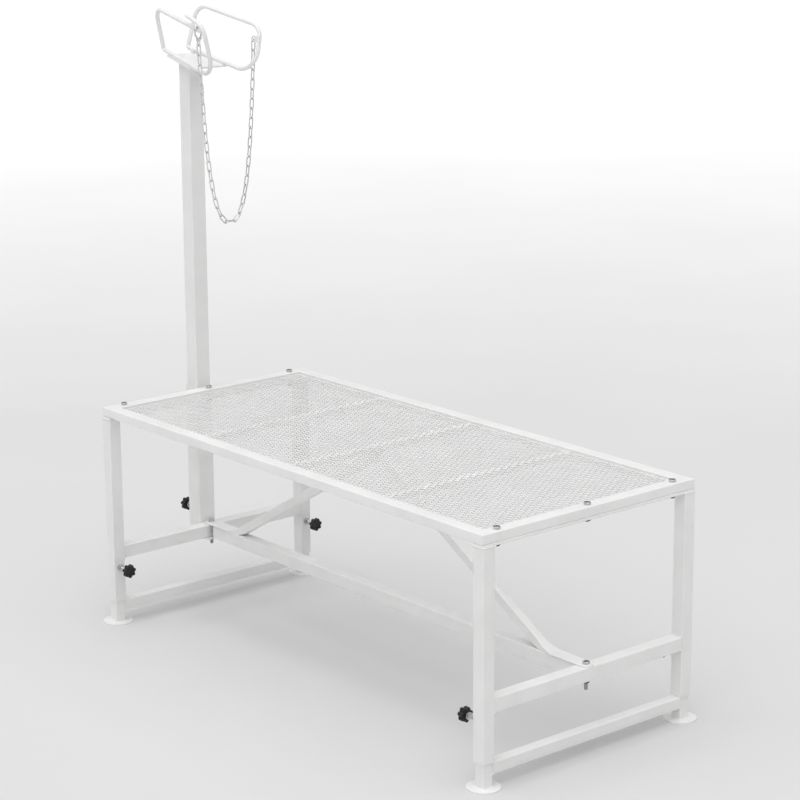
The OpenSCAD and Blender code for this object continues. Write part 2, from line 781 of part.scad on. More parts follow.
module clamp_knob() {
    lobe_r = knob_d * 0.15;
    ring = knob_d / 2 - lobe_r;
    rotate([0, 90, 0]) difference() {
        union() {
            translate([0, 0, knob_face]) cylinder(d = washer_d, h = knob_hub_l);
            translate([0, 0, knob_face + knob_hub_l]) {
                cylinder(r = ring, h = knob_t);
                for (i = [1:knob_lobes]) rotate([0, 0, i * 360 / knob_lobes]) translate([ring, 0, 0])
                    cylinder(r = lobe_r, h = knob_t);
            }
        }
        translate([0, 0, knob_face - past]) cylinder(d = stud_d, h = knob_bore_l + past);
    }
}

leg_stud_depth = leg_wall + leg_slide_gap - clamp_gap;
post_stud_depth = sleeve_wall + post_gap - clamp_gap;

module washer_head_front() { color(steel) at_leg_clamp(-1, -1) clamp_washer(); }
module washer_head_rear() { color(steel) at_leg_clamp(-1, 1) clamp_washer(); }
module washer_tail_front() { color(steel) at_leg_clamp(1, -1) clamp_washer(); }
module washer_tail_rear() { color(steel) at_leg_clamp(1, 1) clamp_washer(); }
module washer_post() { color(steel) at_post_clamp() clamp_washer(); }

module stud_head_front() { color(steel) at_leg_clamp(-1, -1) clamp_stud(leg_stud_depth); }
module stud_head_rear() { color(steel) at_leg_clamp(-1, 1) clamp_stud(leg_stud_depth); }
module stud_tail_front() { color(steel) at_leg_clamp(1, -1) clamp_stud(leg_stud_depth); }
module stud_tail_rear() { color(steel) at_leg_clamp(1, 1) clamp_stud(leg_stud_depth); }
module stud_post() { color(steel) at_post_clamp() clamp_stud(post_stud_depth); }

module knob_head_front() { color(dark) at_leg_clamp(-1, -1) clamp_knob(); }
module knob_head_rear() { color(dark) at_leg_clamp(-1, 1) clamp_knob(); }
module knob_tail_front() { color(dark) at_leg_clamp(1, -1) clamp_knob(); }
module knob_tail_rear() { color(dark) at_leg_clamp(1, 1) clamp_knob(); }
module knob_post() { color(dark) at_post_clamp() clamp_knob(); }

deck_rail_front();
deck_rail_rear();
deck_rail_head();
deck_rail_tail();
deck_cross_bar_head();
deck_cross_bar_middle();
deck_cross_bar_tail();
deck_mesh();
leg_tube_head_front();
leg_tube_head_rear();
leg_tube_tail_front();
leg_tube_tail_rear();
top_bar_head();
top_bar_tail();
mid_rail_head();
mid_rail_tail();
stretcher();
brace_head();
brace_tail();
post_sleeve();
post_bracket();
clamp_weld_nuts();
deck_bolts();
deck_nuts();
stretcher_bolts();
stretcher_nuts();
inner_tube_head_front();
inner_tube_head_rear();
foot_rail_head();
foot_plates_head();
inner_tube_tail_front();
inner_tube_tail_rear();
foot_rail_tail();
foot_plates_tail();
head_post();
neck_plate();
neck_loop_right();
neck_loop_left();
plate_peg();
chain_eye();
neck_chain();
snap_hook();
snap_gate();
washer_head_front();
stud_head_front();
knob_head_front();
washer_head_rear();
stud_head_rear();
knob_head_rear();
washer_tail_front();
stud_tail_front();
knob_tail_front();
washer_tail_rear();
stud_tail_rear();
knob_tail_rear();
washer_post();
stud_post();
knob_post();
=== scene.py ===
"""Looks of the livestock grooming stand: coated tubes, expanded-metal deck, head piece, chain and knobs."""

import json
import math

import bpy
from mathutils import Matrix, Vector


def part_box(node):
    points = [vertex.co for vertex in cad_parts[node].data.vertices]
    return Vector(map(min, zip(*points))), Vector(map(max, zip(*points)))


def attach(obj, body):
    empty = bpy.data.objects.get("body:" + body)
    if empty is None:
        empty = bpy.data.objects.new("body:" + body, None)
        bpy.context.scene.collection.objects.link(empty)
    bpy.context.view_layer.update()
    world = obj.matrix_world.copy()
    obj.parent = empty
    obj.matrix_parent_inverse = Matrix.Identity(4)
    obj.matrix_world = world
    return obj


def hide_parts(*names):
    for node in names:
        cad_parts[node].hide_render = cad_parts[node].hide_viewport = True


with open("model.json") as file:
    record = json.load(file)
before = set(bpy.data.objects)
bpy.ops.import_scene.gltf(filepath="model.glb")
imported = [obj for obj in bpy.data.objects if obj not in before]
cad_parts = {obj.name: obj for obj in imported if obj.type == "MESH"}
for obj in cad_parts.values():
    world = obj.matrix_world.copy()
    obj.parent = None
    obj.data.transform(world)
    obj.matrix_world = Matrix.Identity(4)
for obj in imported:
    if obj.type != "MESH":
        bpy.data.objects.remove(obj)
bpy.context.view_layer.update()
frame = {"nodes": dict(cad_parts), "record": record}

MM = 0.001
X, Y, Z = Vector((1, 0, 0)), Vector((0, 1, 0)), Vector((0, 0, 1))
WHITE = "white_powder_coat"
MESH = "white_mesh"
BLACK = "black_oxide_steel"
ZINC = "zinc_plated_steel"
CHAIN = "galvanised_chain"
PLASTIC = "black_plastic"

ENDS = {"head": -1, "tail": 1}
SIDES = {"front": -1, "rear": 1}
LEGS = [(end, side) for end in ENDS for side in SIDES]

# Tube walls and the radius of their rolled corners.
LEG_WALL, SLEEVE_WALL, THIN_WALL = 2 * MM, 2 * MM, 1.5 * MM
TUBE_CORNER, INNER_CORNER, BAR_CORNER, SLEEVE_CORNER = 2 * MM, 2.2 * MM, 1.8 * MM, 3.2 * MM
CORNER_STEPS = 4


# ---------------------------------------------------------------- camera

def add_camera():
    """Stands off the tail end's front corner, above the head piece, with a long lens."""
    azimuth, elevation, roll = math.radians(51.87), math.radians(13.56), math.radians(0.87)
    place = Vector((3.881, -3.222, 1.896))
    back = Vector((math.sin(azimuth) * math.cos(elevation),
                   -math.cos(azimuth) * math.cos(elevation), math.sin(elevation)))
    data = bpy.data.cameras.new("camera")
    data.lens = 107.7
    data.sensor_width = 36
    data.shift_x, data.shift_y = 0.118, -0.041
    data.clip_end = 60
    camera = bpy.data.objects.new("camera", data)
    bpy.context.scene.collection.objects.link(camera)
    turn = back.to_track_quat("Z", "Y").to_matrix() @ Matrix.Rotation(-roll, 3, "Z")
    camera.matrix_world = Matrix.Translation(place) @ turn.to_4x4()
    bpy.context.scene.camera = camera


# ---------------------------------------------------------------- materials

class Shader:
    """A node material under construction: a Principled shader and what feeds it."""

    def __init__(self, name, **fixed):
        self.material = bpy.data.materials.new(name)
        self.material.use_nodes = True
        self.tree = self.material.node_tree
        self.main = self.tree.nodes["Principled BSDF"]
        for socket, value in fixed.items():
            self.main.inputs[socket.replace("_", " ")].default_value = value
        self.place = self.node("ShaderNodeTexCoord").outputs["Object"]

    def node(self, kind, **settings):
        made = self.tree.nodes.new(kind)
        for key, value in settings.items():
            setattr(made, key, value)
        return made

    def link(self, out, socket):
        self.tree.links.new(out, socket)

    def noise(self, size, detail=3.0, stretch=(1, 1, 1), rough=0.5):
        """Cloudy pattern with features of about this size, in metres."""
        scale = self.node("ShaderNodeMapping")
        scale.inputs["Scale"].default_value = stretch
        made = self.node("ShaderNodeTexNoise")
        made.inputs["Scale"].default_value = 1 / size
        made.inputs["Detail"].default_value = detail
        made.inputs["Roughness"].default_value = rough
        self.link(self.place, scale.inputs["Vector"])
        self.link(scale.outputs["Vector"], made.inputs["Vector"])
        return made.outputs["Fac"]

    def cells(self, size):
        """Flat patches of about this size, each with its own random value."""
        made = self.node("ShaderNodeTexVoronoi")
        made.inputs["Scale"].default_value = 1 / size
        self.link(self.place, made.inputs["Vector"])
        split = self.node("ShaderNodeSeparateColor")
        self.link(made.outputs["Color"], split.inputs["Color"])
        return split.outputs["Red"]

    def spread(self, value, low, high, lowest=0.0, highest=1.0):
        """value's stretch from lowest to highest, taken to the range low to high."""
        made = self.node("ShaderNodeMapRange")
        made.inputs["From Min"].default_value = lowest
        made.inputs["From Max"].default_value = highest
        made.inputs["To Min"].default_value = low
        made.inputs["To Max"].default_value = high
        self.link(value, made.inputs["Value"])
        return made.outputs["Result"]

    def mixed(self, value, dark, light):
        made = self.node("ShaderNodeMix", data_type="RGBA")
        self.link(value, made.inputs["Factor"])
        made.inputs["A"].default_value = (*dark, 1)
        made.inputs["B"].default_value = (*light, 1)
        return made.outputs["Result"]

    def bump(self, height, depth, strength=1.0, after=None):
        made = self.node("ShaderNodeBump")
        made.inputs["Strength"].default_value = strength
        made.inputs["Distance"].default_value = depth
        self.link(height, made.inputs["Height"])
        if after:
            self.link(after, made.inputs["Normal"])
        return made.outputs["Normal"]

    def feed(self, **values):
        for socket, out in values.items():
            self.link(out, self.main.inputs[socket.replace("_", " ")])
        return self.material


def powder_coat(name, dark, light):
    """Sprayed and baked: a soft orange-peel skin, slightly uneven in gloss and tone."""
    s = Shader(name, Coat_Weight=0.18, Coat_Roughness=0.22, Specular_IOR_Level=0.45)
    tone = s.spread(s.noise(60 * MM, 4), 0, 1, 0.35, 0.65)
    peel = s.bump(s.noise(1.6 * MM, 2), 0.06 * MM, 0.55)
    grain = s.bump(s.noise(0.45 * MM, 2), 0.02 * MM, 0.4, after=peel)
    gloss = s.spread(s.noise(25 * MM, 3), 0.36, 0.48, 0.3, 0.7)
    return s.feed(Base_Color=s.mixed(tone, dark, light), Roughness=gloss, Normal=grain)


def black_oxide():
    """Blackened steel, dull in the hollows and a little browned."""
    s = Shader(BLACK, Metallic=0.85)
    patch = s.spread(s.noise(4 * MM, 4), 0, 1, 0.3, 0.7)
    gloss = s.spread(s.noise(1.2 * MM, 3), 0.34, 0.55)
    return s.feed(Base_Color=s.mixed(patch, (0.018, 0.017, 0.016), (0.05, 0.049, 0.052)),
                  Roughness=gloss, Normal=s.bump(s.noise(0.5 * MM, 3), 0.03 * MM, 0.5))


def zinc_plate():
    """Bright zinc: cool grey with fine turning marks and faint yellowish patches."""
    s = Shader(ZINC, Metallic=1.0)
    patch = s.spread(s.noise(5 * MM, 3), 0, 1, 0.35, 0.65)
    marks = s.noise(0.35 * MM, 2, stretch=(1, 1, 0.15))
    return s.feed(Base_Color=s.mixed(patch, (0.46, 0.46, 0.45), (0.62, 0.63, 0.65)),
                  Roughness=s.spread(marks, 0.2, 0.36), Normal=s.bump(marks, 0.02 * MM, 0.5))


def galvanised():
    """Hot-dipped links: spangled grey, duller where the zinc has run thick."""
    s = Shader(CHAIN, Metallic=1.0)
    spangle = s.cells(1.4 * MM)
    gloss = s.spread(s.noise(2.5 * MM, 3), 0.24, 0.46)
    return s.feed(Base_Color=s.mixed(spangle, (0.62, 0.63, 0.64), (0.84, 0.85, 0.86)),
                  Roughness=gloss, Normal=s.bump(s.noise(0.8 * MM, 3), 0.05 * MM, 0.45))


def moulded_plastic():
    """Black glass-filled nylon with a fine spark-eroded grain."""
    s = Shader(PLASTIC, Specular_IOR_Level=0.4)
    tone = s.spread(s.noise(9 * MM, 3), 0, 1, 0.3, 0.7)
    grain = s.noise(0.35 * MM, 2)
    return s.feed(Base_Color=s.mixed(tone, (0.006, 0.006, 0.0065), (0.014, 0.014, 0.015)),
                  Roughness=s.spread(s.noise(6 * MM, 2), 0.3, 0.45), Normal=s.bump(grain, 0.03 * MM, 0.5))


def make_materials():
    return {
        WHITE: powder_coat(WHITE, (0.83, 0.83, 0.825), (0.87, 0.87, 0.865)),
        MESH: powder_coat(MESH, (0.83, 0.83, 0.825), (0.87, 0.87, 0.865)),
        BLACK: black_oxide(), ZINC: zinc_plate(), CHAIN: galvanised(), PLASTIC: moulded_plastic(),
    }


# ---------------------------------------------------------------- mesh helpers

def body_of(node):
    bodies = frame["record"]["behaviour"]["bodies"]
    return next(b for b, members in bodies.items() if node in members)


def plain_mesh(piece):
    """Turns a piece with modifiers into a plain mesh."""
    bpy.context.view_layer.update()
    graph = bpy.context.evaluated_depsgraph_get()
    done = bpy.data.meshes.new_from_object(piece.evaluated_get(graph), depsgraph=graph)
    piece.modifiers.clear()
    piece.data = done
    return piece


def new_piece(name, verts, faces, slot, smooth=40):
    """A shaded, closed mesh object at the origin, in the slot's material."""
    mesh = bpy.data.meshes.new(name)
    mesh.from_pydata([tuple(v) for v in verts], [], faces)
    mesh.materials.append(MATERIALS[slot])
    piece = bpy.data.objects.new(name, mesh)
    bpy.context.scene.collection.objects.link(piece)
    mesh.shade_smooth()
    mesh.set_sharp_from_angle(angle=math.radians(smooth))
    weigh = piece.modifiers.new("even_shading", "WEIGHTED_NORMAL")
    weigh.keep_sharp = True
    plain_mesh(piece)
    return piece


def stands_for(piece, *nodes):
    """The piece takes the place of CAD nodes and moves with their body."""
    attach(piece, body_of(nodes[0]))
    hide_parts(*nodes)
    return piece


class Shape:
    """Vertices and faces gathered from several closed solids."""

    def __init__(self):
        self.verts, self.faces = [], []

    def add(self, verts, faces):
        base = len(self.verts)
        self.verts += verts
        self.faces += [tuple(base + i for i in f) for f in faces]

    def loft(self, rings, closed=False, caps=True):
        """A skin over rings of points, each ring counter-clockwise seen from the far end."""
        n, count = len(rings[0]), len(rings)
        faces = []
        for r in range(count if closed else count - 1):
            a, b = r * n, ((r + 1) % count) * n
            faces += [(a + i, a + (i + 1) % n, b + (i + 1) % n, b + i) for i in range(n)]
        if caps and not closed:
            faces.append(tuple(reversed(range(n))))
            faces.append(tuple(range((count - 1) * n, count * n)))
        self.add([p for ring in rings for p in ring], faces)

    def hollow(self, outer, inner):
        """A tube wall between two lofts of equal counts, with ring-shaped ends."""
        n, count = len(outer[0]), len(outer)
        skin = count * n
        faces = []
        for r in range(count - 1):
            a, b = r * n, (r + 1) * n
            for i in range(n):
                j = (i + 1) % n
                faces.append((a + i, a + j, b + j, b + i))
                faces.append((skin + a + j, skin + a + i, skin + b + i, skin + b + j))
        top = (count - 1) * n
        for i in range(n):
            j = (i + 1) % n
            faces.append((j, i, skin + i, skin + j))
            faces.append((top + i, top + j, skin + top + j, skin + top + i))
        self.add([p for ring in outer + inner for p in ring], faces)

    def piece(self, name, slot, smooth=40):
        return new_piece(name, self.verts, self.faces, slot, smooth)


def rounded_rect(w, h, r, steps=CORNER_STEPS):
    """Outline points of a rectangle with round corners, counter-clockwise."""
    points = []
    for quarter, (sx, sy) in enumerate(((1, 1), (-1, 1), (-1, -1), (1, -1))):
        for i in range(steps + 1):
            a = math.pi / 2 * (quarter + i / steps)
            points.append((sx * (w / 2 - r) + r * math.cos(a), sy * (h / 2 - r) + r * math.sin(a)))
    return points


def circle(r, n=24):
    return [(r * math.cos(2 * math.pi * i / n), r * math.sin(2 * math.pi * i / n)) for i in range(n)]


def axes_for(direction, up):
    """Unit vectors across, up and along, for a section drawn square to a direction."""
    along = Vector(direction).normalized()
    across = Vector(up).cross(along).normalized()
    return across, along.cross(across), along


def section(points, centre, across, up):
    return [centre + across * x + up * y for x, y in points]


def onto_plane(ring, along, point, normal):
    """Slides each point of a ring along the tube until it meets the plane of a cut."""
    return [p + along * ((point - p).dot(normal) / along.dot(normal)) for p in ring]


def square_tube(shape, start, end, w, h, wall, up=Z, cuts=(None, None), corner=TUBE_CORNER):
    """Rolled tube from start to end. A cut is the plane's normal at that end."""
    across, rise, along = axes_for(end - start, up)
    skins = []
    for shrink in (0, wall):
        outline = rounded_rect(w - 2 * shrink, h - 2 * shrink, max(corner - shrink, 0.4 * MM))
        skins.append([onto_plane(section(outline, p, across, rise), along, p, cut or along)
                      for p, cut in zip((start, end), cuts)])
    shape.hollow(*skins)


def node_tube(node, axis, wall, slot=WHITE, cuts=(None, None), corner=TUBE_CORNER):
    """A rolled tube that fills a CAD node's box, along the axis 0, 1 or 2."""
    low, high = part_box(node)
    middle = (low + high) / 2
    start, end = middle.copy(), middle.copy()
    start[axis], end[axis] = low[axis], high[axis]
    size = high - low
    up = Z if axis < 2 else Y
    w = size[1 - axis] if axis < 2 else size.x
    h = size.z if axis < 2 else size.y
    for tip, cut, inward in ((start, cuts[0], 1), (end, cuts[1], -1)):
        if cut:
            tip[axis] += inward * w / 2
    shape = Shape()
    square_tube(shape, start, end, w, h, wall, up, cuts, corner)
    return stands_for(shape.piece(node + "_tube", slot), node)


def rod_skin(shape, path, r, closed=False, sides=20):
    """Round rod along path points, its section carried without twist."""
    count = len(path)
    rings, lift = [], None
    for i, p in enumerate(path):
        before = path[i - 1] if closed or i else p
        after = path[(i + 1) % count] if closed or i < count - 1 else p
        along = (after - before).normalized()
        lift = (Z if abs(along.z) < 0.9 else Y) if lift is None else lift
        across = lift.cross(along).normalized()
        lift = along.cross(across)
        rings.append(section(circle(r, sides), p, across, lift))
    if not closed:
        rings = eased_end(rings[1], rings[0])[::-1] + rings[1:-1] + eased_end(rings[-2], rings[-1])
    shape.loft(rings, closed)


def eased_end(inside, rim, ease=1.2 * MM, steps=4):
    """A sawn end's rings, its edge rounded over."""
    middle = sum(rim, Vector()) / len(rim)
    out = (middle - sum(inside, Vector()) / len(inside)).normalized()
    r = (rim[0] - middle).length
    rings = []
    for i in range(steps + 1):
        a = math.pi / 2 * i / steps
        share = (r - ease * (1 - math.cos(a))) / r
        rings.append([middle + (p - middle) * share - out * ease * (1 - math.sin(a)) for p in rim])
    return rings


# ---------------------------------------------------------------- bolts, nuts and screws

def hex_ring(af, limit, z, n=36):
    """A hexagon's outline at height z, where a cone of radius limit cuts its corners."""
    ring = []
    for i in range(n):
        a = 2 * math.pi * i / n
        flat = (a + math.pi / 6) % (math.pi / 3) - math.pi / 6
        r = min(af / 2 / math.cos(flat), limit)
        ring.append((r * math.cos(a), r * math.sin(a), z))
    return ring


def hex_body(shape, place, af, h, bore=0.0, washer_face=0.0):
    """Chamfered hexagon standing on place's XY plane, drilled if it has a bore."""
    corner = af / 2 / math.cos(math.pi / 6)
    slope = math.tan(math.radians(30))
    face_r = af * 0.475
    cut = corner - face_r
    rings = []
    if washer_face:
        rings += [hex_ring(af, face_r, 0), hex_ring(af, face_r, washer_face)]
    for z, inset in ((washer_face, cut), (washer_face + cut * slope / 2, cut / 2),
                     (washer_face + cut * slope, 0)):
        rings.append(hex_ring(af, corner - inset, z))
    rings += [hex_ring(af, corner, h - cut * slope), hex_ring(af, corner - cut / 2, h - cut * slope / 2),
              hex_ring(af, corner - cut, h)]
    rings = [[place @ Vector(p) for p in ring] for ring in rings]
    if bore:
        inner = [[place @ Vector((x, y, min(max(z, 0), h))) for x, y in circle(bore, 36)]
                 for z in [h * i / (len(rings) - 1) for i in range(len(rings))]]
        shape.hollow(rings, inner)
    else:
        shape.loft(rings)


def threaded_rod(shape, place, r, z0, z1, pitch=1.25 * MM, sides=18):
    """Right-hand thread along place's Z, its crest following a true helix."""
    depth = pitch * 0.54
    per_turn = 6
    count = max(2, round((z1 - z0) / pitch * per_turn))
    rings = []
    for i in range(count + 1):
        z = z0 + (z1 - z0) * i / count
        fade = min(1, (z - z0) / pitch, (z1 - z) / pitch)
        ring = []
        for k in range(sides):
            a = 2 * math.pi * k / sides
            wave = (1 + math.cos(2 * math.pi * (z / pitch - k / sides))) / 2
            tip = r - depth * (1 - wave) if fade > 0 else r - depth
            ring.append(place @ Vector((tip * math.cos(a), tip * math.sin(a), z)))
        rings.append(ring)
    shape.loft(rings)


def islands(node):
    """The separate solids of a CAD node, each as its box's low and high corners."""
    mesh = frame["nodes"][node].data
    merged = {}
    for v in mesh.vertices:
        merged.setdefault(tuple(round(c, 6) for c in v.co), []).append(v.index)
    owner = {}
    for key, group in merged.items():
        for i in group:
            owner[i] = key
    parent = {key: key for key in merged}

    def root(key):
        while parent[key] != key:
            parent[key] = parent[parent[key]]
            key = parent[key]
        return key

    for e in mesh.edges:
        a, b = root(owner[e.vertices[0]]), root(owner[e.vertices[1]])
        if a != b:
            parent[a] = b
    groups = {}
    for key in merged:
        groups.setdefault(root(key), []).append(key)
    boxes = []
    for points in groups.values():
        low = Vector(min(p[i] for p in points) for i in range(3))
        high = Vector(max(p[i] for p in points) for i in range(3))
        boxes.append((low, high))
    return sorted(boxes, key=lambda b: tuple(round(c, 4) for c in b[0]))


BOLT_R, HEX_AF, BOLT_HEAD = 4 * MM, 13 * MM, 5.28 * MM
NUT_BORE_R = BOLT_R + 0.05 * MM
THREAD_L = 22 * MM


def make_bolts(node):
    """Hexagon bolts with a washer face under the head and thread on the lower part."""
    shape = Shape()
    for low, high in islands(node):
        seat = Vector(((low.x + high.x) / 2, (low.y + high.y) / 2, high.z - BOLT_HEAD))
        place = Matrix.Translation(seat)
        hex_body(shape, place, HEX_AF, BOLT_HEAD, washer_face=0.4 * MM)
        tip = low.z - seat.z
        threaded_rod(shape, place, BOLT_R, tip, min(tip + THREAD_L, -1 * MM))
        rings = [[place @ Vector((x, y, z)) for x, y in circle(BOLT_R * 0.99, 18)]
                 for z in (tip + THREAD_L * 0.9, 0.2 * MM)]
        shape.loft(rings)
    return stands_for(shape.piece(node + "_set", ZINC, smooth=28), node)


def make_nuts(node):
    """Plain black nuts on the bolts' lower ends."""
    shape = Shape()
    for low, high in islands(node):
        place = Matrix.Translation(((low.x + high.x) / 2, (low.y + high.y) / 2, low.z))
        hex_body(shape, place, HEX_AF, high.z - low.z, bore=NUT_BORE_R)
    return stands_for(shape.piece(node + "_set", BLACK, smooth=28), node)


def make_weld_nuts():
    """The thick nuts that the clamp screws run in, each on a tube's face."""
    shape = Shape()
    for low, high in islands("clamp_weld_nuts"):
        centre = (low + high) / 2
        place = Matrix.Translation((low.x, centre.y, centre.z)) @ Matrix.Rotation(math.pi / 2, 4, "Y")
        hex_body(shape, place, HEX_AF, high.x - low.x, bore=NUT_BORE_R)
    return stands_for(shape.piece("clamp_weld_nut_set", ZINC, smooth=28), "clamp_weld_nuts")


CLAMPS = ["head_front", "head_rear", "tail_front", "tail_rear", "post"]
KNOB_LOBES = 7
KNOB_HUB = 4 * MM
KNOB_VALLEY = 0.25


def clamp_place(name):
    """A frame at the knob's inner end, its Z pointing outwards, and the knob's size."""
    low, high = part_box("knob_" + name)
    stud_low, stud_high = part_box("stud_" + name)
    outward = 1 if (low + high).x > (stud_low + stud_high).x else -1
    centre = (stud_low + stud_high) / 2
    x = low.x if outward > 0 else high.x
    place = (Matrix.Translation((x, centre.y, centre.z)) @ Matrix.Diagonal((outward, outward, 1, 1))
             @ Matrix.Rotation(math.pi / 2, 4, "Y"))
    inward = abs((stud_low.x if outward > 0 else stud_high.x) - x)
    return place, high.x - low.x, (high.z - low.z) / 2, inward


def make_knob(name):
    """Star knob: rounded lobes, a waisted hub and a dished cap."""
    place, depth, radius, _ = clamp_place(name)
    body = depth - KNOB_HUB
    shape = Shape()
    per_lobe = 12
    n = KNOB_LOBES * per_lobe
    edge = 2.6 * MM
    # Height, share of the knob's radius, and how deep the lobes are cut there.
    profile = [(0.0, 0.42, 0.0), (0.4 * MM, 0.48, 0.0), (KNOB_HUB * 0.6, 0.46, 0.0),
               (KNOB_HUB * 0.9, 0.5, 0.05), (KNOB_HUB, 0.78, 0.75)]
    steps = 5
    for i in range(steps + 1):
        a = math.pi / 2 * i / steps
        profile.append((KNOB_HUB + edge * (1 - math.cos(a)), 1 - edge / radius * (1 - math.sin(a)), 1.0))
    for i in range(steps + 1):
        a = math.pi / 2 * i / steps
        z = KNOB_HUB + body - edge * (1 - math.sin(a))
        profile.append((z, 1 - edge / radius * (1 - math.cos(a)), 1.0))
    profile += [(depth, 0.62, 0.35), (depth - 0.3 * MM, 0.57, 0.0), (depth - 1.2 * MM, 0.5, 0.0),
                (depth - 1.4 * MM, 0.3, 0.0), (depth - 1.4 * MM, 0.06, 0.0)]
    rings = []
    for z, share, lobed in profile:
        ring = []
        for k in range(n):
            a = 2 * math.pi * k / n
            wave = (1 + math.cos(KNOB_LOBES * a)) / 2
            r = radius * (share - KNOB_VALLEY * lobed * (1 - wave ** 0.6))
            ring.append(place @ Vector((r * math.cos(a), r * math.sin(a), z)))
        rings.append(ring)
    shape.loft(rings)
    return stands_for(shape.piece("star_knob_" + name, PLASTIC, smooth=50), "knob_" + name)


def make_stud(name):
    place, _, _, inward = clamp_place(name)
    shape = Shape()
    threaded_rod(shape, place, BOLT_R, -inward, 6 * MM)
    return stands_for(shape.piece("clamp_screw_" + name, ZINC, smooth=60), "stud_" + name)


def make_washer(name):
    low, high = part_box("washer_" + name)
    centre = (low + high) / 2
    place = Matrix.Translation((low.x, centre.y, centre.z)) @ Matrix.Rotation(math.pi / 2, 4, "Y")
    t, r = high.x - low.x, (high.z - low.z) / 2
    ease = 0.3 * MM
    heights = [(0, r - ease), (ease, r), (t - ease, r), (t, r - ease)]
    outer = [[place @ Vector((x, y, z)) for x, y in circle(q, 32)] for z, q in heights]
    inner = [[place @ Vector((x, y, z)) for x, y in circle(NUT_BORE_R, 32)] for z, _ in heights]
    shape = Shape()
    shape.hollow(outer, inner)
    return stands_for(shape.piece("clamp_washer_" + name, ZINC, smooth=35), "washer_" + name)


# ---------------------------------------------------------------- geometry-node trees

class Tree:
    """A Geometry Nodes tree with named inputs, put on an object as a modifier."""

    def __init__(self, name, inputs):
        self.group = bpy.data.node_groups.new(name, "GeometryNodeTree")
        face = self.group.interface
        face.new_socket("Geometry", in_out="INPUT", socket_type="NodeSocketGeometry")
        self.sockets = {}
        for label, value in inputs.items():
            kind = ("NodeSocketMaterial" if isinstance(value, bpy.types.Material)
                    else "NodeSocketInt" if isinstance(value, int) else "NodeSocketFloat")
            self.sockets[label] = (face.new_socket(label, in_out="INPUT", socket_type=kind).identifier, value)
        face.new_socket("Geometry", in_out="OUTPUT", socket_type="NodeSocketGeometry")
        self.start = self.group.nodes.new("NodeGroupInput")
        self.end = self.group.nodes.new("NodeGroupOutput")

    def get(self, label):
        return self.start.outputs[label]

    def node(self, kind, inputs=None, **settings):
        made = self.group.nodes.new(kind)
        for key, value in settings.items():
            setattr(made, key, value)
        for socket, value in (inputs or {}).items():
            target = made.inputs[socket]
            if isinstance(value, bpy.types.NodeSocket):
                self.group.links.new(value, target)
            else:
                target.default_value = value
        return made

    def math(self, operation, a, b=0.0, c=0.0):
        return self.node("ShaderNodeMath", {0: a, 1: b, 2: c}, operation=operation).outputs[0]

    def vector(self, x=0.0, y=0.0, z=0.0):
        return self.node("ShaderNodeCombineXYZ", {"X": x, "Y": y, "Z": z}).outputs[0]

    def finish(self, geometry, material):
        real = self.node("GeometryNodeRealizeInstances", {"Geometry": geometry}).outputs[0]
        painted = self.node("GeometryNodeSetMaterial", {"Geometry": real, "Material": material}).outputs[0]
        self.group.links.new(painted, self.end.inputs[0])

    def grow(self, piece):
        """Runs the tree on a piece and leaves a plain mesh."""
        modifier = piece.modifiers.new(self.group.name, "NODES")
        modifier.node_group = self.group
        for identifier, value in self.sockets.values():
            modifier[identifier] = value
        plain_mesh(piece)
        piece.data.name = piece.name
        return piece


